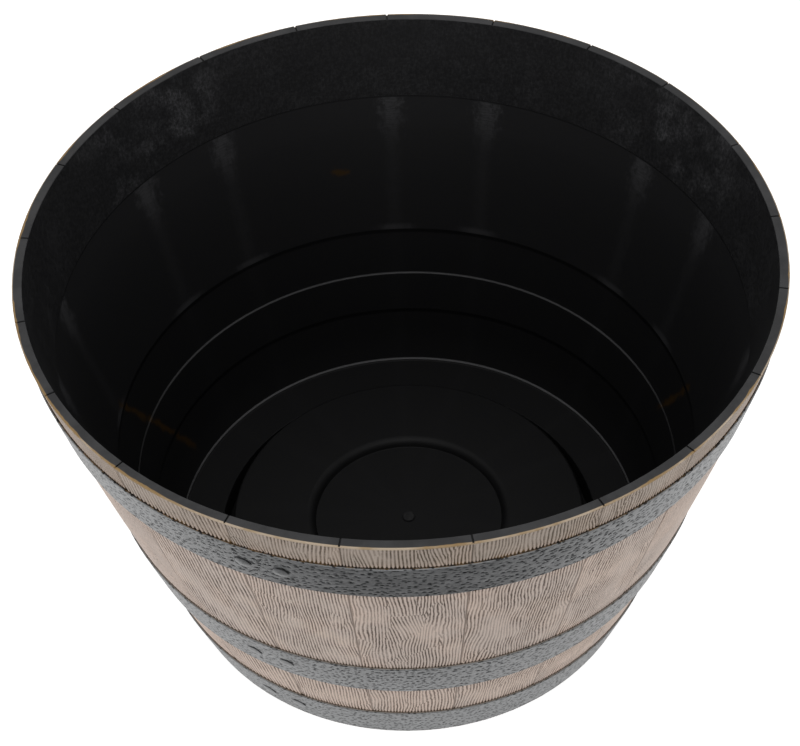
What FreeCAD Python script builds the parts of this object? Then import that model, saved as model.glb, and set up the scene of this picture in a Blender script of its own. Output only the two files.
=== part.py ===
import FreeCAD, Part

import math
import os
from collections import namedtuple

from FreeCAD import Vector

# Half-barrel planter: a moulded tub clad in staves, held together by three riveted hoops.
# Millimetres, Z up, origin on the ground at the middle of the foot.

# The barrel curve, which is the outer face of the staves
HEIGHT = 345.0
RIM_RADIUS = 282.5
FOOT_RADIUS = 190.5
BULGE = 5.0

# Staves, in groups of a narrow, a middling and a broad one
STAVE_GROUPS = 7
STAVE_SHARES = (0.306, 0.339, 0.355)
FIRST_SEAM_ANGLE = 90.8
STAVE_GAP = 0.2
BOARD_THICKNESS = 2.8
STAVE_LIFT = 2.0
STAVE_END_ROUND = 0.6

# Rim: a lip on the tub that covers the staves' upper ends, grooved over each joint between them
RIM_WIDTH = 7.0
LIP_THICKNESS = 2.0
LIP_EDGE_ROUND = 0.6
RIM_GROOVE_WIDTH = 1.4
RIM_GROOVE_DEPTH = 1.2

# Hoops
TOP_HOOP_WIDTH = 41.0
LOWER_HOOP_WIDTH = 45.0
HOOP_THICKNESS = 1.6
HOOP_EDGE_ROUND = 0.5
TOP_HOOP_DROP = 27.5
MIDDLE_HOOP_DROP = 199.0
BOTTOM_HOOP_LIFT = 2.0

# Rivets, a pair on each hoop
RIVET_SPACING = 27.0
RIVET_HEAD_DIAMETER = 11.5
RIVET_HEAD_HEIGHT = 1.3
RIVET_HEAD_EDGE = 0.5
RIVET_SHANK_DIAMETER = 4.0
TOP_RIVET_ANGLE = 249.0
MIDDLE_RIVET_ANGLE = 242.5
BOTTOM_RIVET_ANGLE = 239.0

# Tub wall: a collar that thins downwards from the rim, and two bands set back into the wall under it
TUB_WALL = 2.8
COLLAR_DEPTH = 68.5
COLLAR_STEP = 0.4
COLLAR_EDGE_ROUND = 0.3
BAND_SETBACK = 1.0
UPPER_BAND_FOOT = 110.0
UPPER_BAND_WIDTH = 42.0
LOWER_BAND_FOOT = 26.0
LOWER_BAND_WIDTH = 49.0
BAND_EDGE_ROUND = 0.7

# Tub floor: a flat ring, a narrow channel, and a raised middle that is dished down to the drain
FLOOR_THICKNESS = 3.2
RING_FLOOR_HEIGHT = 24.0
RING_FLOOR_ROUND = 0.8
CHANNEL_WIDTH = 8.0
CHANNEL_ROUND = 2.0
RAISED_FLOOR_HEIGHT = 40.0
RAISED_FLOOR_RADIUS = 147.5
RAISED_FLOOR_DRAFT = 3.0
RAISED_FLOOR_ROUND = 2.0
DISH_RADIUS = 78.5
DISH_DEPTH = 7.0
DISH_DRAFT = 2.5
DISH_SHOULDER_ROUND = 5.0
DISH_FOOT_ROUND = 0.5
DISH_UNDERSIDE_ROUND = 1.5

# Two rings under the tub, on which the planter stands
OUTER_FOOT_WIDTH = 5.0
FOOT_ROUND = 1.0

# Drain plug
PLUG_STEM_RADIUS = 3.5
PLUG_STEM_BELOW_FLOOR = 5.0
PLUG_STEM_TIP_ROUND = 0.8
PLUG_HEAD_RADIUS = 5.5
PLUG_HEAD_HEIGHT = 2.2
PLUG_HEAD_ROUND = 1.9

# Fits between pieces
WALL_CLEARANCE = 0.15
LIP_CLEARANCE = 0.15
RIVET_CLEARANCE = 0.05
PLUG_CLEARANCE = 0.05

# Heights that several pieces share
LIP_FOOT = HEIGHT - LIP_THICKNESS
STAVE_TOP = LIP_FOOT - LIP_CLEARANCE
COLLAR_FOOT = HEIGHT - COLLAR_DEPTH
DRAIN_FLOOR = RAISED_FLOOR_HEIGHT - DISH_DEPTH
TOP_HOOP_FOOT = HEIGHT - TOP_HOOP_DROP - TOP_HOOP_WIDTH
MIDDLE_HOOP_FOOT = HEIGHT - MIDDLE_HOOP_DROP - LOWER_HOOP_WIDTH

# Distances of the faces from the barrel curve, outwards positive
HOOP_INNER = WALL_CLEARANCE
HOOP_OUTER = HOOP_INNER + HOOP_THICKNESS
TUB_OUTER = -(BOARD_THICKNESS + WALL_CLEARANCE)
TUB_INNER = TUB_OUTER - TUB_WALL
TUB_BAND = TUB_INNER + BAND_SETBACK
TUB_COLLAR_FOOT = TUB_INNER - COLLAR_STEP

Z_AXIS = Vector(0, 0, 1)
ORIGIN = Vector(0, 0, 0)

# How far a cutting shape reaches past what it cuts
OVERCUT = 1.0

# A corner of a section: its place, how far its rounding reaches along each side, and its
# distance from the barrel curve if it lies on a face that follows that curve
Corner = namedtuple("Corner", "r z soft offset")


def circle_through(a, b, c):
    """Centre and radius of the circle through three points, each a radius and a height."""
    (ar, az), (br, bz), (cr, cz) = a, b, c
    twice_area = 2 * (ar * (bz - cz) + br * (cz - az) + cr * (az - bz))
    a2, b2, c2 = ar * ar + az * az, br * br + bz * bz, cr * cr + cz * cz
    centre_r = (a2 * (bz - cz) + b2 * (cz - az) + c2 * (az - bz)) / twice_area
    centre_z = (a2 * (cr - br) + b2 * (ar - cr) + c2 * (br - ar)) / twice_area
    return centre_r, centre_z, math.hypot(ar - centre_r, az - centre_z)


CURVE_R, CURVE_Z, CURVE_RADIUS = circle_through(
    (FOOT_RADIUS, 0.0),
    ((FOOT_RADIUS + RIM_RADIUS) / 2 + BULGE, HEIGHT / 2),
    (RIM_RADIUS, HEIGHT),
)


def barrel_radius(z, offset=0.0):
    """Radius at height z of the face that lies this far outside the barrel curve."""
    return CURVE_R + math.sqrt((CURVE_RADIUS + offset) ** 2 - (z - CURVE_Z) ** 2)


def barrel_lean(z):
    """Angle by which the wall's outward normal points below the horizon at height z, in degrees."""
    return math.degrees(math.asin((CURVE_Z - z) / CURVE_RADIUS))


def at(r, z, soft=0.0):
    """A corner at a radius and a height."""
    return Corner(r, z, soft, None)


def on_wall(offset, z, soft=0.0):
    """A corner on the face that lies this far outside the barrel curve."""
    return Corner(barrel_radius(z, offset), z, soft, offset)


def follows_wall(a, b):
    return a.offset is not None and a.offset == b.offset


def step_towards(corner, other, distance):
    """The point at this distance from a corner along the side to another corner."""
    if follows_wall(corner, other):
        rise = distance * math.cos(math.radians(barrel_lean(corner.z)))
        z = corner.z + math.copysign(rise, other.z - corner.z)
        return Vector(barrel_radius(z, corner.offset), 0, z)
    start = Vector(corner.r, 0, corner.z)
    way = Vector(other.r, 0, other.z) - start
    return start + way.normalize() * distance


def side_edge(start, end, offset):
    """The edge between two points: straight, or along the barrel curve at an offset."""
    if offset is None:
        return Part.LineSegment(start, end).toShape()
    middle_z = (start.z + end.z) / 2
    middle = Vector(barrel_radius(middle_z, offset), 0, middle_z)
    return Part.Arc(start, middle, end).toShape()


def section(corners):
    """A closed face in the radius-height plane, with its soft corners rounded."""
    edges = []
    count = len(corners)
    for k in range(count):
        before, corner, after = corners[k - 1], corners[k], corners[(k + 1) % count]
        leave = step_towards(corner, after, corner.soft)
        if corner.soft:
            arrive = step_towards(corner, before, corner.soft)
            point = Vector(corner.r, 0, corner.z)
            half_chord = (leave - arrive).Length / 2
            crown = point + ((arrive + leave) / 2 - point) / (1 + half_chord / corner.soft)
            edges.append(Part.Arc(arrive, crown, leave).toShape())
        reach = step_towards(after, corner, after.soft)
        edges.append(side_edge(leave, reach, corner.offset if follows_wall(corner, after) else None))
    return Part.Face(Part.Wire(edges))


def turned(corners, start=0.0, sweep=360.0):
    """The solid that a section makes when it is turned about the Z axis."""
    solid = section(corners).revolve(ORIGIN, Z_AXIS, sweep)
    solid.rotate(ORIGIN, Z_AXIS, start)
    return solid


def stave_angles():
    """The start and the sweep of each stave, in degrees, seam to seam."""
    group = 360.0 / STAVE_GROUPS
    whole = sum(STAVE_SHARES)
    start = FIRST_SEAM_ANGLE
    angles = []
    for _ in range(STAVE_GROUPS):
        for share in STAVE_SHARES:
            sweep = group * share / whole
            angles.append((start, sweep))
            start += sweep
    return angles


def make_stave(start, sweep):
    """A board that stands against the tub's wall, with its upper end under the lip."""
    gap = math.degrees(STAVE_GAP / RIM_RADIUS)
    corners = [
        on_wall(0.0, STAVE_LIFT, STAVE_END_ROUND),
        on_wall(0.0, STAVE_TOP, STAVE_END_ROUND),
        on_wall(-BOARD_THICKNESS, STAVE_TOP),
        on_wall(-BOARD_THICKNESS, STAVE_LIFT),
    ]
    return turned(corners, start + gap / 2, sweep - gap)


def make_hoop(foot, width, rivets):
    """A band round the staves, with a hole for each of its rivets."""
    corners = [
        on_wall(HOOP_INNER, foot),
        on_wall(HOOP_OUTER, foot, HOOP_EDGE_ROUND),
        on_wall(HOOP_OUTER, foot + width, HOOP_EDGE_ROUND),
        on_wall(HOOP_INNER, foot + width),
    ]
    hoop = turned(corners)
    reach = 2 * HOOP_THICKNESS
    hole_radius = RIVET_SHANK_DIAMETER / 2 + RIVET_CLEARANCE
    for placement in rivets:
        hole = Part.makeCylinder(hole_radius, 2 * reach, Vector(-reach, 0, 0), Vector(1, 0, 0))
        hole.Placement = placement
        hoop = hoop.cut(hole)
    return hoop.Solids[0]


def rivet_places(z, angle):
    """Where the two rivets of a hoop sit at a height: on its outer face, pointing outwards."""
    radius = barrel_radius(z, HOOP_OUTER)
    half_step = math.degrees(RIVET_SPACING / 2 / radius)
    lean = FreeCAD.Rotation(Vector(0, 1, 0), barrel_lean(z))
    places = []
    for side in (-1, 1):
        turn = FreeCAD.Rotation(Z_AXIS, angle + side * half_step)
        seat = turn.multVec(Vector(radius, 0, z))
        places.append(FreeCAD.Placement(seat, turn.multiply(lean)))
    return places


def make_rivet(placement):
    """A low domed head on a shank that goes through the hoop."""
    head_radius = RIVET_HEAD_DIAMETER / 2
    shank_radius = RIVET_SHANK_DIAMETER / 2
    dome_height = RIVET_HEAD_HEIGHT - RIVET_HEAD_EDGE
    dome_radius = (head_radius**2 + dome_height**2) / (2 * dome_height)
    half_way = head_radius / 2
    half_rise = math.sqrt(dome_radius**2 - half_way**2) - (dome_radius - RIVET_HEAD_HEIGHT)
    edge, crown = Vector(RIVET_HEAD_EDGE, head_radius, 0), Vector(RIVET_HEAD_HEIGHT, 0, 0)
    dome = Part.Arc(edge, Vector(half_rise, half_way, 0), crown).toShape()
    rest = Part.makePolygon(
        [
            crown,
            Vector(-HOOP_THICKNESS, 0, 0),
            Vector(-HOOP_THICKNESS, shank_radius, 0),
            Vector(0, shank_radius, 0),
            Vector(0, head_radius, 0),
            edge,
        ]
    )
    rivet = Part.Face(Part.Wire([dome] + rest.Edges)).revolve(ORIGIN, Vector(1, 0, 0), 360)
    rivet.Placement = placement
    return rivet


def wall_band(foot, width):
    """Corners, from the top down, of a band set back into the tub's inner face."""
    top = foot + width
    return [
        on_wall(TUB_INNER, top),
        on_wall(TUB_BAND, top),
        on_wall(TUB_BAND, foot),
        on_wall(TUB_INNER, foot, BAND_EDGE_ROUND),
    ]


def rim_grooves():
    """The shapes that cut the grooves across the rim, one over each joint between staves."""
    bottom = HEIGHT - RIM_GROOVE_DEPTH
    inner = barrel_radius(bottom, -RIM_WIDTH) - OVERCUT
    length = RIM_RADIUS + OVERCUT - inner
    grooves = []
    for angle, _ in stave_angles():
        corner = Vector(inner, -RIM_GROOVE_WIDTH / 2, bottom)
        groove = Part.makeBox(length, RIM_GROOVE_WIDTH, RIM_GROOVE_DEPTH + OVERCUT, corner)
        groove.rotate(ORIGIN, Z_AXIS, angle)
        grooves.append(groove)
    return grooves


def make_tub():
    """The moulded shell: the rim, the wall, the feet it stands on, and the raised floor with the drain."""
    drain_radius = PLUG_STEM_RADIUS + PLUG_CLEARANCE
    channel_inner = RAISED_FLOOR_RADIUS + RAISED_FLOOR_DRAFT
    channel_outer = channel_inner + CHANNEL_WIDTH
    underside = RAISED_FLOOR_HEIGHT - FLOOR_THICKNESS
    dish_underside = DRAIN_FLOOR - FLOOR_THICKNESS
    dish_outer = DISH_RADIUS + FLOOR_THICKNESS
    foot_inner = barrel_radius(0.0, TUB_OUTER) - OUTER_FOOT_WIDTH
    hollow_inner = channel_outer + FLOOR_THICKNESS
    hollow_top = RING_FLOOR_HEIGHT - FLOOR_THICKNESS
    outside = [
        on_wall(TUB_OUTER, 0.0, FOOT_ROUND),
        on_wall(TUB_OUTER, LIP_FOOT),
        on_wall(0.0, LIP_FOOT),
        on_wall(0.0, HEIGHT, LIP_EDGE_ROUND),
    ]
    inside = [
        on_wall(-RIM_WIDTH, HEIGHT, LIP_EDGE_ROUND),
        on_wall(TUB_COLLAR_FOOT, COLLAR_FOOT, COLLAR_EDGE_ROUND),
        on_wall(TUB_INNER, COLLAR_FOOT),
        *wall_band(UPPER_BAND_FOOT, UPPER_BAND_WIDTH),
        *wall_band(LOWER_BAND_FOOT, LOWER_BAND_WIDTH),
    ]
    floor = [
        on_wall(TUB_INNER, RING_FLOOR_HEIGHT, RING_FLOOR_ROUND),
        at(channel_outer, RING_FLOOR_HEIGHT, RING_FLOOR_ROUND),
        at(channel_outer, FLOOR_THICKNESS, CHANNEL_ROUND),
        at(channel_inner, FLOOR_THICKNESS, CHANNEL_ROUND),
        at(RAISED_FLOOR_RADIUS, RAISED_FLOOR_HEIGHT, RAISED_FLOOR_ROUND),
        at(DISH_RADIUS + DISH_DRAFT, RAISED_FLOOR_HEIGHT, DISH_SHOULDER_ROUND),
        at(DISH_RADIUS, DRAIN_FLOOR, DISH_FOOT_ROUND),
        at(drain_radius, DRAIN_FLOOR),
    ]
    below = [
        at(drain_radius, dish_underside),
        at(dish_outer, dish_underside, DISH_UNDERSIDE_ROUND),
        at(dish_outer + DISH_DRAFT, underside, DISH_UNDERSIDE_ROUND),
        at(RAISED_FLOOR_RADIUS - FLOOR_THICKNESS, underside, RAISED_FLOOR_ROUND),
        at(channel_inner - FLOOR_THICKNESS, 0.0, FOOT_ROUND),
        at(hollow_inner, 0.0, FOOT_ROUND),
        at(hollow_inner, hollow_top, CHANNEL_ROUND),
        at(foot_inner, hollow_top, CHANNEL_ROUND),
        at(foot_inner, 0.0, FOOT_ROUND),
    ]
    tub = turned(outside + inside + floor + below)
    return tub.cut(rim_grooves()).Solids[0]


def make_drain_plug():
    """A push-in plug: a domed head on the dished floor, and a stem through it."""
    tip = DRAIN_FLOOR - FLOOR_THICKNESS - PLUG_STEM_BELOW_FLOOR
    head_top = DRAIN_FLOOR + PLUG_HEAD_HEIGHT
    corners = [
        at(0.0, tip),
        at(PLUG_STEM_RADIUS, tip, PLUG_STEM_TIP_ROUND),
        at(PLUG_STEM_RADIUS, DRAIN_FLOOR),
        at(PLUG_HEAD_RADIUS, DRAIN_FLOOR),
        at(PLUG_HEAD_RADIUS, head_top, PLUG_HEAD_ROUND),
        at(0.0, head_top),
    ]
    return turned(corners)


def make_planter():
    """Every sub-part by its node name."""
    parts = {"inner_tub": make_tub(), "drain_plug": make_drain_plug()}
    for number, (start, sweep) in enumerate(stave_angles(), 1):
        parts[f"stave_{number:02d}"] = make_stave(start, sweep)
    hoops = {
        "top_hoop": (TOP_HOOP_FOOT, TOP_HOOP_WIDTH, TOP_RIVET_ANGLE),
        "middle_hoop": (MIDDLE_HOOP_FOOT, LOWER_HOOP_WIDTH, MIDDLE_RIVET_ANGLE),
        "bottom_hoop": (BOTTOM_HOOP_LIFT, LOWER_HOOP_WIDTH, BOTTOM_RIVET_ANGLE),
    }
    for name, (foot, width, angle) in hoops.items():
        places = rivet_places(foot + width / 2, angle)
        parts[name] = make_hoop(foot, width, places)
        parts[name + "_rivets"] = Part.makeCompound([make_rivet(place) for place in places])
    return parts


os.makedirs("parts", exist_ok=True)
for node, shape in make_planter().items():
    shape.exportStep(f"parts/{node}.step")
    print(f"{node}: {len(shape.Solids)} solid, {shape.Volume / 1000:.1f} cm3, valid {shape.isValid()}")
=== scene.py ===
"""Half-barrel planter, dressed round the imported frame.

Brushed oak-look staves, pitted grey hoops with their rivets, a black tub and its drain plug.
Lengths are in metres unless a name ends in MM or PX.
"""

import math

import bpy
import numpy as np
from mathutils import Matrix, Vector


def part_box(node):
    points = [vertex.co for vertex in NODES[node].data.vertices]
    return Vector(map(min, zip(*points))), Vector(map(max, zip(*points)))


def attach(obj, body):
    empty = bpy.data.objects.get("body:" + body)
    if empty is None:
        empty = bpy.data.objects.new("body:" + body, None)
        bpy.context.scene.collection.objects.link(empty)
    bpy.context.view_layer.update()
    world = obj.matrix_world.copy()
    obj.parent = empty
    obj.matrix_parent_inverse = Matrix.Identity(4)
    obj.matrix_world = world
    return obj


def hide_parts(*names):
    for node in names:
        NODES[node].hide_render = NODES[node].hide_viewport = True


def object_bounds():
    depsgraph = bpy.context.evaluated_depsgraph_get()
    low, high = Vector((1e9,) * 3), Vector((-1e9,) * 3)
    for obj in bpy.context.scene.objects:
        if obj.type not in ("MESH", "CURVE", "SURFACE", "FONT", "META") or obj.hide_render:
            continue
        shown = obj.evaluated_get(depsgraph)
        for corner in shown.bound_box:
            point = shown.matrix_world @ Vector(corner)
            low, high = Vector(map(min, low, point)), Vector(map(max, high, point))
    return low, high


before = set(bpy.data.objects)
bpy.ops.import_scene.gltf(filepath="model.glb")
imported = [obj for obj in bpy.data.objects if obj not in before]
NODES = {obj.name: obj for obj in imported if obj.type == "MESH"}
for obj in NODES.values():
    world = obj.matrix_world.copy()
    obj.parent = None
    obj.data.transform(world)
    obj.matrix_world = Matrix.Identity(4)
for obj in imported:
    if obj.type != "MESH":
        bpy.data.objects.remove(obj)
CAD_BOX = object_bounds()
MAIN_BODY = "planter"
MM_PER_M = 1000.0


def rgb(red, green, blue):
    """A linear colour from screen values of 0 to 255."""
    def linear(value):
        share = value / 255
        return share / 12.92 if share <= 0.04045 else ((share + 0.055) / 1.055) ** 2.4

    return (linear(red), linear(green), linear(blue), 1.0)


# The barrel curve
HEIGHT = CAD_BOX[1].z
RIM_RADIUS = 0.2825
FOOT_RADIUS = 0.1905
BULGE = 0.005
ROUNDING_POINTS = 3

# Staves
STAVES = sorted(name for name in NODES if name.startswith("stave_"))
BOARD_THICKNESS = 0.0028
STAVE_END_ROUND = 0.0006
LONG_EDGE_ROUND = 0.0006
COLUMN_STEP = 0.00052
ROW_STEP = 0.0025
BACK_ROW_STEP = 20 * ROW_STEP

# Brushed grain. A pair in millimetres is the width and height of a noise's waves, and a reach that is a pair
# is its least and what may be added
GRAIN_PITCH_MM = 2.4
COARSER_BY_MM = 1.0
WAVIEST_STAVE = 12.0
TEMPER_CYCLE = 6
SLANT_PATCH_MM = (24.0, 48.0)
SLANT_PATCH_EDGE_MM = (9.0, 22.0)
STEEPEST_SLANT = 0.2
SWAY_MM = (55.0, 75.0)
SWAY_REACH_MM = 6.5
BEND_MM = (19.0, 34.0)
BEND_REACH_MM = (3.9, 2.4)
TREMBLE_MM = (4.0, 7.0)
TREMBLE_REACH_MM = (0.4, 1.2)
DEEP_PATCH_MM = (30.0, 42.0)
LINE_LENGTH_MM = 16.0
BEAD_LENGTH_MM = 2.8
GROOVE_DEPTH = 0.0007
# Around each hoop, mostly below it, the grooves are cut deeper and so coloured darker; the darker colour is
# painted shade under the hoops
DEEP_AND_SHADED_BELOW_HOOP = (0.045, 0.006)
DEEP_AND_SHADED_ABOVE_HOOP = 0.016
SEAM_LAND = (0.0002, 0.0009)

# Times the stave's number, these draw each noise anew for each stave
GRAIN_SEED = 7.31
PATCH_EDGE_SEED = 5.1
LINE_SEED = 3.3
BEAD_SEED = 4.7
BLOTCH_SEED = 3.7

# Stave finish
RIDGE_COLOURS = (rgb(207, 190, 179), rgb(216, 195, 181))
GROOVE_COLOURS = (rgb(84, 68, 57), rgb(93, 74, 60))
OAK_FLECK_COLOUR = rgb(152, 134, 121)
# The band between the top hoop and the rim is darkened towards brown, fading in between these heights
STRIP_HEIGHTS = (0.31, 0.325)
STRIP_COLOUR = rgb(80, 73, 47)
# Staves just above the top, middle and bottom hoop: washed dark, and painted shade where the stave meets the
# hoop
WASH_AND_SHADE_REACH = (0.0036, 0.0026, 0.0022)
WASH_AND_SHADE_STRENGTH = (0.9, 0.6, 0.5)
WASH_AND_SHADE_SOFT_EDGE = 0.0008
WASH_AND_SHADE_STARTS_UNDER_EDGE = (0.01, 0.005)
WASH_AND_SHADE_COLOURS = (rgb(48, 38, 30), rgb(112, 88, 52))

# Hoops
HOOPS = ("top_hoop", "middle_hoop", "bottom_hoop")
HOOP_EDGE_ROUND = 0.0012
HOOP_CLEARANCE = 0.00015
HOOP_THICKNESS = 0.0016
HOOP_COLUMN_STEP = 0.0012
HOOP_ROW_STEP = 0.0008
HAMMER_DEPTH = 0.00018
DASH_DEPTH = 0.00045
DASH_CELL_MM = (4.5, 3.7)
DASH_HALF_MM = (1.85, 0.87)
RIVET_SPACING = 0.027
RIVET_HEAD_RADIUS = 0.00575
# A dark crescent at the upper right edge of each rivet head, partly stain and partly painted shade
RIVET_WASH_AND_SHADE_WIDTHS = (0.0013, 0.0006)

# Hoop finish
METAL_SHARE = 0.6
HOOP_GREYS = (rgb(117, 118, 119), rgb(130, 131, 132))
HOOP_FLECK_COLOUR = rgb(78, 80, 82)
DASH_COLOUR = rgb(20, 21, 23)
RIVET_WASH_AND_SHADE_COLOUR = rgb(18, 18, 19)
# Painted shade: the bottom hoop's grey is darkened, fading out between these heights
ABOVE_BOTTOM_HOOP = (0.04, 0.1)
ABOVE_MIDDLE_HOOP = (0.2, 0.3)
# The upper ledge: painted light on the middle and bottom hoops, dark stain and painted shade on the top hoop
LEDGE_LIGHT_COLOUR = rgb(172, 164, 154)
TOP_LEDGE_WASH_AND_SHADE_COLOURS = (rgb(36, 30, 24), rgb(150, 122, 80))

# Tub: heights and radii of its forms
COLLAR_FOOT = HEIGHT - 0.0685
UPPER_BAND = (0.110, 0.152)
LOWER_BAND = (0.026, 0.075)
RING_FLOOR_INNER_RADIUS = 0.1585
MEAN_INNER_RADIUS = 0.23
STAVE_GROUP_ANGLE = math.tau / 7
FIRST_SEAM_ANGLE = math.radians(90.8)
BROAD_STAVE_SHARE = 0.355

# Tub finish. A pair of lengths is where a fade starts and ends
SOFT_EDGE = 0.0004
CHALK_ANGLES = (math.radians(32.0), math.radians(137.0))
CHALK_FADE_ANGLES = (0.36, 0.1)
FILM_HEIGHTS = (0.19, 0.27)
FILM_EDGE_HEIGHTS = (0.246, 0.248)
# Pale streaks down the wall inside and glints at their lower ends: painted highlights that stand for the
# lamps' reflections
STREAK_HEIGHTS = (0.225, 0.270)
STREAK_HALF_WIDTH = 0.010
STREAK_WIDER_BY = 0.006
STREAK_TOP_FADE = 0.003
GLINT_WIDTHS = (0.022, 0.006)
GLINT_HEIGHT = 0.003
GLINT_SOFT_EDGE = 0.004
STAIN_WIDTHS = (0.0125, 0.008)
STAIN_RAGGEDNESS = 0.016
# Painted shade: thin dark lines just under the collar's foot and just under each band's top
COLLAR_SHADE_LINE = (0.0014, 0.0006)
BAND_SHADE_LINE = (0.0034, 0.0003)
BAND_SHADE_SOFT_EDGE = 0.001
# Painted highlight along the foot of each band inside, stronger on the back half, from below to above the
# foot
HIGHLIGHT_BELOW, HIGHLIGHT_ABOVE = 0.0007, 0.0002
BACK_HALF = (0.0, 0.15)
FLOOR_HEIGHTS = (0.06, 0.03)
RIM_TOP_DEPTHS = (0.0009, 0.0004)
PAINT_REACH = (0.0009, 0.0013)
PAINT_SOFT_EDGE = 0.0003
PAINT_DEPTHS = (0.0035, 0.003)
BLACK = rgb(16, 16, 17)
# Pale colour of the chalk and rubbing on the collar, and of the painted highlight streaks
RUBBED_AND_SHEEN_COLOUR = rgb(70, 70, 72)
STAIN_COLOUR = rgb(50, 34, 7)
# Colour of the painted highlights along the band feet
EDGE_HIGHLIGHT_COLOUR = rgb(140, 140, 142)
# Colour of the painted shade lines
PAINTED_SHADE_COLOUR = rgb(4, 4, 5)
RIM_GREYS = (rgb(55, 55, 56), rgb(66, 66, 67))
PAINT_COLOURS = (rgb(190, 172, 150), rgb(152, 125, 86))
PLUG_COLOURS = (rgb(28, 28, 29), rgb(40, 40, 41))

# Brown marks on the wall inside: the angle in degrees and the height of each one's two ends
STAINS = (
    ((103.2, 0.2123), (100.1, 0.2092)),
    ((173.7, 0.158), (157.0, 0.045)),
    ((13.0, 0.104), (6.2, 0.1565)),
)

# Stage
FLOOR_HALF = 25.0
FLOOR_WHITE = (0.9, 0.9, 0.9, 1.0)
FLOOR_GLOW = (0.68, 0.68, 0.68, 1.0)
CARD_CORNERS = ((-0.55, -1.3), (0.55, -0.285))
CARD_HEIGHT = 0.001
CARD_COLOUR = rgb(40, 40, 40)
SURROUNDINGS = 0.55
SOFTBOXES = {  # place, size and power
    "left": ((-1.7, -0.5, 0.8), (1.4, 1.4), 4.0),
    "right": ((1.7, -0.5, 0.8), (1.4, 1.4), 3.0),
    "above": ((0.0, -1.2, 2.3), (1.4, 1.0), 9.0),
    "front": ((0.0, -2.4, 1.1), (1.6, 1.0), 6.5),
}

# Camera, as found from the rim, the hoops and the outline
FOCAL_LENGTH_PX = 1992.0
IMAGE_WIDTH_PX = 800
SENSOR_WIDTH_MM = 36.0
CAMERA_DISTANCE = 5.17 * RIM_RADIUS
CAMERA_ELEVATION = math.radians(42.80)
CAMERA_PITCH = math.radians(46.46)
CAMERA_YAW = math.radians(-0.16)
CAMERA_ROLL = math.radians(-2.09)


class Sock:
    """A node's output socket. Each operator used on it adds a Math node."""

    def __init__(self, graph, socket):
        self.graph = graph
        self.socket = socket

    def math(self, operation, *values):
        return self.graph.add("ShaderNodeMath", {"operation": operation}, dict(enumerate(values)))

    def __add__(self, other):
        return self.math("ADD", self, other)

    def __sub__(self, other):
        return self.math("SUBTRACT", self, other)

    def __mul__(self, other):
        return self.math("MULTIPLY", self, other)

    def __truediv__(self, other):
        return self.math("DIVIDE", self, other)

    def __radd__(self, other):
        return self.math("ADD", other, self)

    def __rsub__(self, other):
        return self.math("SUBTRACT", other, self)

    def __rmul__(self, other):
        return self.math("MULTIPLY", other, self)

    def __rtruediv__(self, other):
        return self.math("DIVIDE", other, self)

    def abs(self):
        return self.math("ABSOLUTE", self)

    def cos(self):
        return self.math("COSINE", self)

    def fraction(self):
        return self.math("FRACT", self)

    def largest(self, other):
        return self.math("MAXIMUM", self, other)

    def smallest(self, other):
        return self.math("MINIMUM", self, other)

    def step(self, low, high):
        """0 below low, 1 above high and smooth between; low may be the larger one."""
        start, end = (0.0, 1.0) if low < high else (1.0, 0.0)
        values = {0: self, 1: min(low, high), 2: max(low, high), 3: start, 4: end}
        return self.graph.add("ShaderNodeMapRange", {"interpolation_type": "SMOOTHSTEP"}, values)

    def raised(self, least):
        """A number from 0 to 1, squeezed into the range from the least one to 1."""
        return self * (1.0 - least) + least


class Graph:
    """Adds nodes to a shader or geometry tree."""

    def __init__(self, tree):
        self.tree = tree

    def add(self, kind, settings=None, inputs=None, output=0):
        """Adds a node, sets it and its sockets, and gives one of its outputs."""
        node = self.tree.nodes.new(kind)
        for name, value in (settings or {}).items():
            setattr(node, name, value)
        for key, value in (inputs or {}).items():
            self.feed(node.inputs[key], value)
        return Sock(self, node.outputs[output]) if node.outputs else None

    def feed(self, socket, value):
        """Links an output to a socket, or sets the socket to a plain value."""
        if isinstance(value, Sock):
            self.tree.links.new(value.socket, socket)
        else:
            socket.default_value = value

    def beside(self, sock, output):
        """Another output of the node that a socket belongs to."""
        return Sock(self, sock.socket.node.outputs[output])

    def vector_math(self, operation, *vectors, output=0):
        return self.add("ShaderNodeVectorMath", {"operation": operation}, dict(enumerate(vectors)), output)

    def length(self, vector):
        return self.vector_math("LENGTH", vector, output="Value")

    def vector(self, x, y, z):
        return self.add("ShaderNodeCombineXYZ", None, {0: x, 1: y, 2: z})

    def split(self, vector):
        parts = self.add("ShaderNodeSeparateXYZ", None, {0: vector})
        return [Sock(self, socket) for socket in parts.socket.node.outputs]

    def noise(self, vector, scale=1.0, detail=2.0, roughness=0.5):
        """Noise from 0 to 1, mostly near the middle."""
        sockets = {"Vector": vector, "Scale": scale, "Detail": detail, "Roughness": roughness}
        return self.add("ShaderNodeTexNoise", None, sockets)

    def mix(self, factor, a, b):
        """Colour a where the factor is 0 and colour b where it is 1."""
        return self.add("ShaderNodeMix", {"data_type": "RGBA"}, {0: factor, 6: a, 7: b}, 2)

    def tint(self, colour, factor):
        """A colour or vector times a number."""
        return self.add("ShaderNodeVectorMath", {"operation": "SCALE"}, {0: colour, "Scale": factor})


# The barrel curve


def circle_through(a, b, c):
    """Centre and radius of the circle through three points, each a radius and a height."""
    (ar, az), (br, bz), (cr, cz) = a, b, c
    twice_area = 2 * (ar * (bz - cz) + br * (cz - az) + cr * (az - bz))
    a2, b2, c2 = ar * ar + az * az, br * br + bz * bz, cr * cr + cz * cz
    centre_r = (a2 * (bz - cz) + b2 * (cz - az) + c2 * (az - bz)) / twice_area
    centre_z = (a2 * (cr - br) + b2 * (ar - cr) + c2 * (br - ar)) / twice_area
    return centre_r, centre_z, math.hypot(ar - centre_r, az - centre_z)


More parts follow.
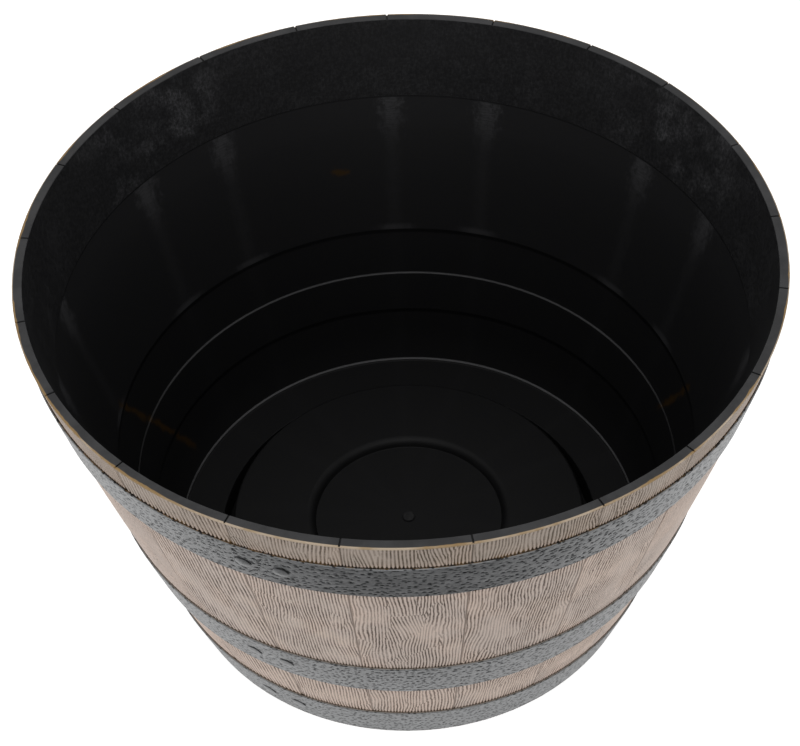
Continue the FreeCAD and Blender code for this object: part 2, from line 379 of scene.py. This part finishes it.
CURVE_R, CURVE_Z, CURVE_RADIUS = circle_through(
    (FOOT_RADIUS, 0.0),
    ((FOOT_RADIUS + RIM_RADIUS) / 2 + BULGE, HEIGHT / 2),
    (RIM_RADIUS, HEIGHT),
)


def barrel_radius(z, offset=0.0):
    """Radius at height z of the face that lies this far outside the barrel curve."""
    return CURVE_R + np.sqrt((CURVE_RADIUS + offset) ** 2 - (z - CURVE_Z) ** 2)


def wall_rows(low, high, step, offset=0.0):
    """Points from low to high along the wall, each a radius and a height."""
    z = np.linspace(low, high, max(2, round(abs(high - low) / step) + 1))
    return np.column_stack([barrel_radius(z, offset), z])


def rounded_corner(before, corner, after):
    """Points of a rounding that leaves one point, passes near the corner and reaches the other."""
    t = np.linspace(0, 1, ROUNDING_POINTS + 2)[1:-1, None]
    return (1 - t) ** 2 * before + 2 * t * (1 - t) * corner + t**2 * after


def wall_outline(outer, inner, outside, edge):
    """The outline of a board on the wall, from its outer and inner points, with its outer edges rounded."""
    low, high = inner[-1, 1], inner[0, 1]

    def corner(z, inward):
        return np.array([barrel_radius(z, outside) - inward, z])

    return np.vstack(
        [
            outer,
            rounded_corner(outer[-1], corner(high, 0.0), corner(high, edge)),
            corner(high, edge),
            inner,
            corner(low, edge),
            rounded_corner(corner(low, edge), corner(low, 0.0), outer[0]),
        ]
    )


# Meshes


def heights(node):
    """The lowest and the highest height of a CAD node."""
    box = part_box(node)
    return box[0].z, box[1].z


def node_corners(node):
    """The corners of a CAD node's mesh, one in each row."""
    mesh = NODES[node].data
    corners = np.empty(len(mesh.vertices) * 3, dtype=np.float32)
    mesh.vertices.foreach_get("co", corners)
    return corners.reshape(-1, 3)


def swept_mesh(name, section, angles, closed):
    """The mesh of a section of radius and height points that is turned through the angles."""
    count, turns = len(section), len(angles)
    radius, height = section[:, 0], section[:, 1]
    cosine, sine = np.cos(angles)[:, None], np.sin(angles)[:, None]
    rows = np.broadcast_to(height, (turns, count))
    corners = np.stack([radius * cosine, radius * sine, rows], axis=-1).reshape(-1, 3)
    faces = []
    for turn in range(turns if closed else turns - 1):
        here, there = turn * count, (turn + 1) % turns * count
        for k in range(count):
            after = (k + 1) % count
            faces.append((here + k, there + k, there + after, here + after))
    if not closed:
        faces.append(tuple(range(count)))
        faces.append(tuple(range(turns * count - 1, (turns - 1) * count - 1, -1)))
    mesh = bpy.data.meshes.new(name)
    mesh.from_pydata(corners.tolist(), [], faces)
    mesh.polygons.foreach_set("use_smooth", np.ones(len(faces), dtype=bool))
    return mesh


def store(mesh, name, values):
    """Keeps a number for each corner of a mesh, for its tree and its material to read."""
    layer = mesh.attributes.new(name, "FLOAT", "POINT")
    layer.data.foreach_set("value", np.asarray(values, dtype=np.float32).ravel())


def store_points(mesh, name, first, last, shape):
    """Stores 1 for the points of a swept section from first up to last, and 0 for the others."""
    chosen = np.zeros(shape)
    chosen[:, first:last] = 1.0
    store(mesh, name, chosen)


def carved(name, mesh, tree, inputs):
    """The plain mesh object that a geometry tree makes of a mesh."""
    rough = bpy.data.objects.new(name + "_rough", mesh)
    bpy.context.collection.objects.link(rough)
    modifier = rough.modifiers.new("carve", "NODES")
    modifier.node_group = tree
    for item in tree.interface.items_tree:
        if item.in_out == "INPUT" and item.name in inputs:
            modifier[item.identifier] = inputs[item.name]
    depsgraph = bpy.context.evaluated_depsgraph_get()
    finished = bpy.data.meshes.new_from_object(
        rough.evaluated_get(depsgraph), preserve_all_data_layers=True, depsgraph=depsgraph
    )
    finished.name = name
    bpy.data.objects.remove(rough)
    piece = bpy.data.objects.new(name, finished)
    bpy.context.collection.objects.link(piece)
    return piece


def carving_tree(name, depth_of):
    """A geometry tree that moves each corner towards the axis by the depth that a function builds in it."""
    tree = bpy.data.node_groups.new(name, "GeometryNodeTree")
    face = tree.interface
    face.new_socket("Geometry", in_out="INPUT", socket_type="NodeSocketGeometry")
    face.new_socket("Material", in_out="INPUT", socket_type="NodeSocketMaterial")
    face.new_socket("Geometry", in_out="OUTPUT", socket_type="NodeSocketGeometry")
    graph = Graph(tree)
    geometry = graph.add("NodeGroupInput")
    material = graph.beside(geometry, "Material")
    place = graph.add("GeometryNodeInputPosition")
    x, y, _ = graph.split(place)
    outward = graph.vector_math("NORMALIZE", graph.vector(x, y, 0.0))
    offset = graph.tint(outward, depth_of(graph, place) * -1.0)
    moved = graph.add("GeometryNodeSetPosition", None, {"Geometry": geometry, "Offset": offset})
    whole = graph.add("GeometryNodeRealizeInstances", None, {0: moved})
    shown = graph.add("GeometryNodeSetMaterial", None, {"Geometry": whole, "Material": material})
    graph.add("NodeGroupOutput", None, {0: shown})
    return tree


def named(graph, name):
    """A stored number, read in a geometry tree or in a material."""
    if graph.tree.bl_idname == "GeometryNodeTree":
        return graph.add("GeometryNodeInputNamedAttribute", {"data_type": "FLOAT"}, {"Name": name})
    return graph.add("ShaderNodeAttribute", {"attribute_name": name}, None, "Fac")


# Materials


def new_material(name, **sockets):
    """A material, its graph and its shader, with the sockets that are the same all over."""
    material = bpy.data.materials.new(name)
    material.use_nodes = True
    tree = material.node_tree
    shader = next(node for node in tree.nodes if node.type == "BSDF_PRINCIPLED")
    for socket, value in sockets.items():
        shader.inputs[socket.replace("_", " ")].default_value = value
    return material, Graph(tree), shader


def object_place(graph):
    """Where a point of the surface is, in its object's own space."""
    return graph.add("ShaderNodeTexCoord", None, None, "Object")


def dress(node, material):
    """Gives a CAD node its material."""
    mesh = NODES[node].data
    mesh.materials.clear()
    mesh.materials.append(material)


# Staves


def stave_span(node):
    """The angles at which a stave's node starts and ends."""
    x, y, _ = node_corners(node).T
    middle = math.atan2(y.mean(), x.mean())
    cosine, sine = math.cos(middle), math.sin(middle)
    turn = np.arctan2(y * cosine - x * sine, x * cosine + y * sine)
    return middle + turn.min(), middle + turn.max()


def stave_mesh(name, node, number):
    """A stave's mesh before its grain is cut, with the numbers that its grain and finish follow."""
    start, end = stave_span(node)
    low, high = heights(node)
    outer = wall_rows(low + STAVE_END_ROUND, high - STAVE_END_ROUND, ROW_STEP)
    inner = wall_rows(high, low, BACK_ROW_STEP, -BOARD_THICKNESS)
    outline = wall_outline(outer, inner, 0.0, STAVE_END_ROUND)
    columns = round((end - start) * RIM_RADIUS / COLUMN_STEP)
    angles = np.linspace(start, end, columns + 1)
    mesh = swept_mesh(name, outline, angles, closed=False)
    from_edge = np.minimum(angles - start, end - angles)[:, None] * outline[:, 0]
    across = (angles - (start + end) / 2)[:, None] * outline[:, 0]
    store(mesh, "across", across)
    store(mesh, "edge", from_edge)
    store_points(mesh, "skin", 0, len(outer), across.shape)
    store(mesh, "stave", np.full(across.shape, float(number)))
    return mesh


def slanted(graph, u, v, stave):
    """How far the grain's lines are pushed aside, and their unrest: patches that each lean their own way."""
    wide, tall = SLANT_PATCH_MM
    edge_wide, edge_tall = SLANT_PATCH_EDGE_MM
    stray = graph.noise(graph.vector(u / edge_wide, v / edge_tall, stave * PATCH_EDGE_SEED)) - 0.5
    spot = graph.vector(u / wide + stray * 0.7, v / tall, stave * GRAIN_SEED)
    near = graph.add("ShaderNodeTexVoronoi", None, {"Vector": spot, "Scale": 1.0}, "Position")
    lean, unrest, _ = graph.split(graph.beside(near, "Color"))
    lean = lean * 2.0 - 1.0
    middle = graph.split(near)[1] * tall
    return (v - middle) * lean * lean.abs().step(0.6, 0.95) * STEEPEST_SLANT, unrest


def grain(graph, across, rise, stave, edge):
    """The brushed grain: 1 on a ridge and 0 in a groove, and how deep the grooves are cut there."""
    u, v = across * MM_PER_M, rise * MM_PER_M

    def noise(size, shift, detail):
        wide, tall = size
        return graph.noise(graph.vector(u / wide, v / tall, stave * GRAIN_SEED + shift), detail=detail)

    aside, unrest = slanted(graph, u, v, stave)
    temper = ((stave - WAVIEST_STAVE) * (math.tau / TEMPER_CYCLE)).cos()
    coarse = temper.step(-0.6, -0.9)
    sway = (noise(SWAY_MM, 0.0, 1.0) - 0.5) * SWAY_REACH_MM
    bend = (noise(BEND_MM, 40.0, 0.0) - 0.5) * (temper * BEND_REACH_MM[1] + BEND_REACH_MM[0])
    tremble = (noise(TREMBLE_MM, 80.0, 1.0) - 0.5) * (unrest * TREMBLE_REACH_MM[1] + TREMBLE_REACH_MM[0])
    pushed = u + aside * (1.0 - coarse) + sway + bend + tremble
    phase = pushed / (coarse * COARSER_BY_MM + GRAIN_PITCH_MM)
    ridge = (phase * math.tau).cos() * 0.5 + 0.5
    patch = noise(DEEP_PATCH_MM, 160.0, 2.0).step(0.38, 0.6)
    line = graph.noise(graph.vector(phase, v / LINE_LENGTH_MM, stave * LINE_SEED)).step(0.3, 0.56)
    bead = graph.noise(graph.vector(phase * 0.8, v / BEAD_LENGTH_MM, stave * BEAD_SEED), detail=1.0)
    # Around each hoop, mostly below it, the grooves are cut deeper, which is real, and coloured darker,
    # which is painted shade
    for name in HOOPS:
        low, high = heights(name)
        below = rise.step(low - DEEP_AND_SHADED_BELOW_HOOP[0], low - DEEP_AND_SHADED_BELOW_HOOP[1])
        patch = patch.largest(below * rise.step(high + DEEP_AND_SHADED_ABOVE_HOOP, high) * 0.9)
    depth = patch.raised(0.48) * line.raised(0.6) * bead.step(0.3, 0.55).raised(0.7) * edge.step(*SEAM_LAND)
    return ridge, depth


def stave_grain(graph, rise):
    """The grain at a stave's point, from the numbers stored in its mesh."""
    return grain(graph, named(graph, "across"), rise, named(graph, "stave"), named(graph, "edge"))


def grain_cut(graph, place):
    """How deep the outer face is cut below its ridges, with the long edges eased."""
    ridge, depth = stave_grain(graph, graph.split(place)[2])
    eased = named(graph, "edge").step(LONG_EDGE_ROUND * 2, 0.0) * LONG_EDGE_ROUND
    return ((1.0 - ridge) * depth * GROOVE_DEPTH + eased) * named(graph, "skin")


def oak_material():
    """Pale weathered oak look, washed dark and given painted shade in the grooves just above each hoop."""
    material, graph, shader = new_material("weathered_oak_resin", Roughness=0.7)
    place = object_place(graph)
    z = graph.split(place)[2]
    stave, across = named(graph, "stave"), named(graph, "across")
    ridge, depth = stave_grain(graph, z)
    groove = ridge.step(0.78, 0.06) * depth
    u, v = across * MM_PER_M, z * MM_PER_M
    local = graph.vector(u, v, stave * BLOTCH_SEED)
    blotch = graph.noise(local, scale=0.016, detail=3.0, roughness=0.6).step(0.36, 0.64)
    fleck = graph.noise(graph.vector(u, v * 0.5, stave), roughness=0.7).step(0.5, 0.75)
    ridge_colour = graph.mix(blotch, *RIDGE_COLOURS)
    ridge_colour = graph.mix(fleck * 0.3, ridge_colour, OAK_FLECK_COLOUR)
    groove_colour = graph.mix(blotch, *GROOVE_COLOURS)
    wood = graph.mix(groove, ridge_colour, groove_colour)
    tone = graph.add("ShaderNodeTexWhiteNoise", {"noise_dimensions": "1D"}, {"W": stave}, "Value")
    wood = graph.tint(wood, tone * 0.12 + 0.97)
    wood = graph.mix(named(graph, "edge").step(*reversed(SEAM_LAND)) * 0.6, wood, groove_colour)
    # Darkens the band between the top hoop and the rim towards brown
    wood = graph.mix(z.step(*STRIP_HEIGHTS) * 0.38, wood, STRIP_COLOUR)
    smear = graph.noise(place, scale=55.0, detail=3.0, roughness=0.6)
    dark = graph.mix(smear.step(0.5, 0.62), *WASH_AND_SHADE_COLOURS)
    # Painted shade and a dark stain: the grooves just above each hoop's top edge are darkened
    for name, reach, strength in zip(HOOPS, WASH_AND_SHADE_REACH, WASH_AND_SHADE_STRENGTH):
        hoop_top = heights(name)[1]
        above = z - hoop_top - (1.0 - ridge) * smear.step(0.3, 0.65) * reach
        start, full = (hoop_top - under for under in WASH_AND_SHADE_STARTS_UNDER_EDGE)
        wash_and_shade = above.step(0.0, -WASH_AND_SHADE_SOFT_EDGE) * z.step(start, full)
        wood = graph.mix(wash_and_shade * strength, wood, dark)
    graph.feed(shader.inputs["Base Color"], wood)
    return material


def make_staves():
    """Each stave with its brushed face, in the place of its node."""
    tree = carving_tree("brushed_grain", grain_cut)
    material = oak_material()
    for number, node in enumerate(STAVES, 1):
        name = f"brushed_{node}"
        piece = carved(name, stave_mesh(name, node, number), tree, {"Material": material})
        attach(piece, MAIN_BODY)
        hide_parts(node)


# Hoops


def hoop_mesh(name, node):
    """A hoop's mesh before it is hammered, with 1 stored on its outer face and on its upper ledge."""
    low, high = heights(node)
    outside = HOOP_CLEARANCE + HOOP_THICKNESS
    outer = wall_rows(low + HOOP_EDGE_ROUND, high - HOOP_EDGE_ROUND, HOOP_ROW_STEP, outside)
    inner = wall_rows(high, low, high - low, HOOP_CLEARANCE)
    outline = wall_outline(outer, inner, outside, HOOP_EDGE_ROUND)
    columns = round(math.tau * outer[:, 0].max() / HOOP_COLUMN_STEP)
    angles = np.linspace(0, math.tau, columns, endpoint=False)
    mesh = swept_mesh(name, outline, angles, closed=True)
    shape = columns, len(outline)
    ledge = len(outer) + ROUNDING_POINTS
    store_points(mesh, "face", 0, len(outer), shape)
    store_points(mesh, "ledge", ledge, ledge + 2, shape)
    return mesh


def dashes(graph, place):
    """How far a point lies in one of the short dashes pressed into a hoop, from 0 to 1."""
    x, y, z = graph.split(place)
    cell, half = np.array(DASH_CELL_MM), np.array(DASH_HALF_MM)
    along = x.math("ARCTAN2", x, y * -1.0) * (RIM_RADIUS * MM_PER_M / cell[0])
    spot = graph.vector(along, z * (MM_PER_M / cell[1]), 0.0)
    near = graph.add(
        "ShaderNodeTexVoronoi", {"voronoi_dimensions": "2D"}, {"Vector": spot, "Scale": 1.0}, "Position"
    )
    away = graph.vector_math("MULTIPLY", graph.vector_math("SUBTRACT", spot, near), (*(cell / half), 0.0))
    size, darkness, _ = graph.split(graph.beside(near, "Color"))
    reach = graph.length(away) / (size * 0.5 + 0.65)
    return reach.step(1.0, 0.6) * darkness.raised(0.7)


def hammer_cut(graph, place):
    """How deep a hoop's outer face is beaten in."""
    dent = graph.noise(place, scale=120.0, detail=1.0).step(0.35, 0.70)
    return (dent * HAMMER_DEPTH + dashes(graph, place) * DASH_DEPTH) * named(graph, "face")


def hoop_grey(graph, shader, place):
    """The clouded and flecked grey of hoops and rivets, with its gloss already fed."""
    cloud = graph.noise(place, scale=38.0, detail=4.0, roughness=0.6)
    fleck = graph.noise(place, scale=700.0, roughness=0.6)
    graph.feed(shader.inputs["Roughness"], cloud * 0.2 + 0.34)
    grey = graph.mix(cloud.step(0.35, 0.65), *HOOP_GREYS)
    return graph.mix(fleck.step(0.48, 0.7) * 0.3, grey, HOOP_FLECK_COLOUR)


def rivet_material(node, strength):
    """The hoops' grey without its dashes, washed dark and given painted shade against the upper right edge
    of both heads.
    """
    material, graph, shader = new_material(f"grey_resin_{node}", Metallic=METAL_SHARE)
    place = object_place(graph)
    x, y, z = graph.split(place)
    middle = node_corners(node).mean(axis=0)
    turn = math.atan2(middle[1], middle[0])
    along = y * math.cos(turn) - x * math.sin(turn)
    side = along - along.math("SIGN", along) * (RIVET_SPACING / 2)
    rise = z - float(middle[2])
    away = graph.length(graph.vector(side, rise, 0.0))
    start, full = (RIVET_HEAD_RADIUS - width for width in RIVET_WASH_AND_SHADE_WIDTHS)
    # Painted shade and stain: a dark crescent along the upper right edge of each head
    wash_and_shade = away.step(start, full) * ((side * 0.5 + rise) / away).step(0.35, 0.8)
    grey = hoop_grey(graph, shader, place)
    graph.feed(shader.inputs["Base Color"], graph.mix(wash_and_shade * strength, grey, RIVET_WASH_AND_SHADE_COLOUR))
    return material


def hoop_material():
    """Cool grey resin that looks like beaten iron, with dark dashes; the upper ledge is painted light on the
    middle and bottom hoops, and dark, as stain and painted shade, on the top one.
    """
    material, graph, shader = new_material("grey_hoop_resin", Metallic=METAL_SHARE)
    place = object_place(graph)
    z = graph.split(place)[2]
    # Painted shade: the bottom hoop's grey is made a little darker than the other hoops'
    grey = graph.tint(hoop_grey(graph, shader, place), z.step(*ABOVE_BOTTOM_HOOP).raised(0.91))
    grey = graph.mix(dashes(graph, place), grey, DASH_COLOUR)
    # The upper ledge: dark stain and painted shade on the top hoop, painted light on the middle and bottom
    # hoops
    beads = graph.noise(place, scale=260.0, roughness=0.6).step(0.42, 0.6)
    top_ledge_wash_and_shade = graph.mix(beads, *TOP_LEDGE_WASH_AND_SHADE_COLOURS)
    ledge_light_and_shade = graph.mix(z.step(*ABOVE_MIDDLE_HOOP), LEDGE_LIGHT_COLOUR, top_ledge_wash_and_shade)
    graph.feed(shader.inputs["Base Color"], graph.mix(named(graph, "ledge") * 0.85, grey, ledge_light_and_shade))
    return material


def make_hoops():
    """The three hoops, and their rivets in a like finish."""
    tree = carving_tree("hammered_hoop", hammer_cut)
    material = hoop_material()
    for node, strength in zip(HOOPS, WASH_AND_SHADE_STRENGTH):
        name = f"hammered_{node}"
        piece = carved(name, hoop_mesh(name, node), tree, {"Material": material})
        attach(piece, MAIN_BODY)
        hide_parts(node)
        dress(f"{node}_rivets", rivet_material(f"{node}_rivets", strength))


# Tub and drain plug


def between(value, low, high, soft=SOFT_EDGE):
    """1 between two limits, fading over a soft edge outside them."""
    return value.step(low - soft, low) * value.step(high + soft, high)


def from_streak(angle, radius):
    """Distance to the nearest pale streak inside, a painted highlight: there is one at each side of every
    broad stave.
    """
    turn = (angle - FIRST_SEAM_ANGLE) / STAVE_GROUP_ANGLE
    first = ((turn + 0.5).fraction() - 0.5).abs()
    second = ((turn + 0.5 + BROAD_STAVE_SHARE).fraction() - 0.5).abs()
    return first.smallest(second) * STAVE_GROUP_ANGLE * radius


def streaks(graph, angle, radius, z):
    """The ragged pale streaks down the wall, painted highlights for the lamps' reflections, broad under the
    collar, and the painted glints at their lower ends.
    """
    away = from_streak(angle, radius)
    head = UPPER_BAND[1]
    ragged = graph.noise(graph.vector(angle * 55.0, z * 120.0, 0.0), detail=5.0, roughness=0.75) - 0.5
    rows = graph.noise(graph.vector(angle * 30.0, z * 800.0, 0.0), detail=3.0, roughness=0.6)
    upper = z.step(*STREAK_HEIGHTS)
    width = upper * STREAK_WIDER_BY + STREAK_HALF_WIDTH
    line = (away / width + ragged * 3.0).step(1.0, 0.0) * rows.step(0.3, 0.65).raised(0.4)
    line = line * upper.raised(0.15) * z.step(COLLAR_FOOT, COLLAR_FOOT - STREAK_TOP_FADE)
    line = line * z.step(head - 0.001, head).raised(0.35)
    # Painted glints where the streaks meet the upper band's top
    glint = (away + ragged * 0.03).step(*GLINT_WIDTHS)
    glint = glint * between(z, head, head + GLINT_HEIGHT, GLINT_SOFT_EDGE)
    return line + glint * 0.5


def scuffs_and_sheen(graph, place, angle, radius, z):
    """How pale the black resin is made: a rubbed film and scratches on the collar, and pale streaks down the
    wall that are painted highlights.
    """
    collar = z.step(COLLAR_FOOT - SOFT_EDGE, COLLAR_FOOT)
    cloud = graph.noise(place, scale=26.0, detail=6.0, roughness=0.68)
    mottle = graph.noise(place, scale=380.0, detail=4.0, roughness=0.75).step(0.4, 0.66)
    slanting = graph.vector(angle * 230.0, z * 150.0 + angle * 40.0, 0.0)
    hair = graph.noise(slanting, detail=3.0, roughness=0.65).step(0.42, 0.72)
    heavy = 0.0
    for middle in CHALK_ANGLES:
        heavy = (angle - middle).abs().step(*CHALK_FADE_ANGLES) + heavy
    chalk = cloud.step(0.44, 0.66) * (heavy * 0.6 + 0.12) * (hair * 0.45 + mottle * 0.5 + 0.2)
    film = z.step(UPPER_BAND[1] - SOFT_EDGE, UPPER_BAND[1]) * 0.04 + z.step(*FILM_HEIGHTS) * 0.03
    film = film + z.step(*FILM_EDGE_HEIGHTS) * 0.012 + mottle * 0.02
    rubbed = film + collar * (chalk + hair * 0.08 + mottle * 0.12 - 0.055)
    # The streaks are painted highlights, added to the real rubbing
    return rubbed + streaks(graph, angle, radius, z) * 0.45


def stains(graph, place, angle, z):
    """How far a point lies in one of the few brown marks on the wall, each a short stroke."""
    ragged = graph.noise(place, scale=110.0, detail=4.0, roughness=0.7) * STAIN_RAGGEDNESS
    marks = 0.0
    for stroke in STAINS:
        (u0, v0), (u1, v1) = [(math.radians(turn) * MEAN_INNER_RADIUS, height) for turn, height in stroke]
        along, up = u1 - u0, v1 - v0
        u, v = angle * MEAN_INNER_RADIUS - u0, z - v0
        share = ((u * along + v * up) / (along * along + up * up)).largest(0.0).smallest(1.0)
        away = graph.length(graph.vector(u - share * along, v - share * up, 0.0))
        marks = (away + ragged).step(*STAIN_WIDTHS) + marks
    return marks


def tub_material():
    """Black moulded resin, scuffed and marked, with painted highlight streaks and lines, painted shade under
    the collar and the band tops, a dark grey rim and paint that strayed on it.
    """
    material, graph, shader = new_material("black_resin", Specular_IOR_Level=0.24)
    place = object_place(graph)
    x, y, z = graph.split(place)
    radius = graph.length(graph.vector(x, y, 0.0))
    angle = y.math("ARCTAN2", y, x)
    # Real chalk and rubbing, together with the painted highlight streaks and glints
    pale = scuffs_and_sheen(graph, place, angle, radius, z)
    black = graph.mix(pale, BLACK, RUBBED_AND_SHEEN_COLOUR)
    black = graph.mix(stains(graph, place, angle, z) * 0.75, black, STAIN_COLOUR)

    on_wall = radius.step(RING_FLOOR_INNER_RADIUS, RING_FLOOR_INNER_RADIUS + 0.01)
    # Painted shade: a dark line just under the collar's foot, and one under each band's top
    low, high = (COLLAR_FOOT - under for under in COLLAR_SHADE_LINE)
    edge_highlight, painted_shade = 0.0, between(z, low, high) * 0.6
    back = y.step(*BACK_HALF)
    # Painted highlight along each band's foot, stronger on the back half
    for (foot, head), highlight_strength in ((UPPER_BAND, back * 0.17), (LOWER_BAND, back * 0.22 + 0.11)):
        edge_highlight = between(z, foot - HIGHLIGHT_BELOW, foot + HIGHLIGHT_ABOVE) * on_wall * highlight_strength + edge_highlight
        low, high = (head - under for under in BAND_SHADE_LINE)
        painted_shade = between(z, low, high, BAND_SHADE_SOFT_EDGE) + painted_shade
    black = graph.mix(edge_highlight, black, EDGE_HIGHLIGHT_COLOUR)
    black = graph.mix(painted_shade, black, PAINTED_SHADE_COLOUR)

    start, full = (HEIGHT - depth for depth in RIM_TOP_DEPTHS)
    cloud = graph.noise(place, scale=45.0, detail=4.0, roughness=0.6).step(0.35, 0.65)
    bare = graph.mix(z.step(start, full), black, graph.mix(cloud, *RIM_GREYS))
    stray = graph.noise(place, scale=18.0, detail=4.0, roughness=0.6)
    reach = (stray.step(0.48, 0.7) * PAINT_REACH[1] + PAINT_REACH[0]) - (RIM_RADIUS - radius)
    start, full = (HEIGHT - depth for depth in PAINT_DEPTHS)
    paint = reach.step(-PAINT_SOFT_EDGE, PAINT_SOFT_EDGE) * z.step(start, full)
    gold = graph.mix(stray.step(0.42, 0.58), *PAINT_COLOURS)
    graph.feed(shader.inputs["Base Color"], graph.mix(paint, bare, gold))
    rough = pale * 0.15 + 0.45 + paint * 0.2 + z.step(*FLOOR_HEIGHTS) * 0.15
    graph.feed(shader.inputs["Roughness"], rough)
    return material


def plug_material():
    """Black rubber, a little paler than the tub."""
    material, graph, shader = new_material("black_rubber", Specular_IOR_Level=0.3, Roughness=0.65)
    dust = graph.noise(object_place(graph), scale=350.0, detail=3.0, roughness=0.6).step(0.35, 0.7)
    graph.feed(shader.inputs["Base Color"], graph.mix(dust, *PLUG_COLOURS))
    return material


def make_inside():
    """The finish of the tub and of its drain plug, which keep their CAD shapes."""
    dress("inner_tub", tub_material())
    dress("drain_plug", plug_material())


# Stage


def stage_plane(name, low, high, z, material):
    """A flat rectangle of the stage between two corners."""
    mesh = bpy.data.meshes.new(name)
    (x0, y0), (x1, y1) = low, high
    mesh.from_pydata([(x0, y0, z), (x1, y0, z), (x1, y1, z), (x0, y1, z)], [], [(0, 1, 2, 3)])
    mesh.materials.append(material)
    plane = bpy.data.objects.new(name, mesh)
    plane.visible_diffuse = False
    bpy.context.collection.objects.link(plane)
    return plane


def make_floor():
    """A white floor that glows as a light table does, and a dark card in front that only the gloss shows."""
    glow = {"Emission_Color": FLOOR_GLOW, "Emission_Strength": 1.0}
    floor, _, _ = new_material("pale_floor", Base_Color=FLOOR_WHITE, Roughness=0.9, **glow)
    stage_plane("floor", (-FLOOR_HALF, -FLOOR_HALF), (FLOOR_HALF, FLOOR_HALF), 0.0, floor)
    dark, _, _ = new_material("dark_card", Base_Color=CARD_COLOUR, Roughness=0.9)
    card = stage_plane("card", *CARD_CORNERS, CARD_HEIGHT, dark)
    card.visible_camera = False
    card.visible_shadow = False


def aimed(location, target):
    """The turn that points an object's -Z from one place to another."""
    return (Vector(target) - Vector(location)).to_track_quat("-Z", "Y").to_matrix().to_4x4()


def add_softbox(name, location, target, size, power):
    """A rectangular lamp that faces a target."""
    light = bpy.data.lights.new(name, "AREA")
    light.shape = "RECTANGLE"
    light.size, light.size_y = size
    light.energy = power
    lamp = bpy.data.objects.new(name, light)
    lamp.matrix_world = Matrix.Translation(location) @ aimed(location, target)
    bpy.context.collection.objects.link(lamp)


def make_lights():
    """Dim white surroundings, a softbox on each side, one overhead and one in front."""
    world = bpy.data.worlds.new("studio")
    world.use_nodes = True
    background = world.node_tree.nodes["Background"]
    background.inputs["Color"].default_value = (1.0, 1.0, 1.0, 1.0)
    background.inputs["Strength"].default_value = SURROUNDINGS
    bpy.context.scene.world = world
    middle = (0.0, 0.0, HEIGHT / 2)
    for name, (location, size, power) in SOFTBOXES.items():
        add_softbox(name, location, middle, size, power)


def make_camera():
    """The photograph's view: its place from the rim's middle, its pitch, its slight yaw and roll."""
    camera = bpy.data.cameras.new("camera")
    camera.sensor_width = SENSOR_WIDTH_MM
    camera.lens = SENSOR_WIDTH_MM * FOCAL_LENGTH_PX / IMAGE_WIDTH_PX
    place = Vector((0.0, -math.cos(CAMERA_ELEVATION), math.sin(CAMERA_ELEVATION))) * CAMERA_DISTANCE
    turn = (
        Matrix.Rotation(-CAMERA_YAW, 4, "Z")
        @ Matrix.Rotation(math.pi / 2 - CAMERA_PITCH, 4, "X")
        @ Matrix.Rotation(CAMERA_ROLL, 4, "Z")
    )
    eye = bpy.data.objects.new("camera", camera)
    eye.matrix_world = Matrix.Translation(place + Vector((0.0, 0.0, HEIGHT))) @ turn
    bpy.context.collection.objects.link(eye)
    bpy.context.scene.camera = eye


make_camera()
make_floor()
make_lights()
make_staves()
make_hoops()
make_inside()
bpy.context.scene.view_settings.view_transform = "Standard"
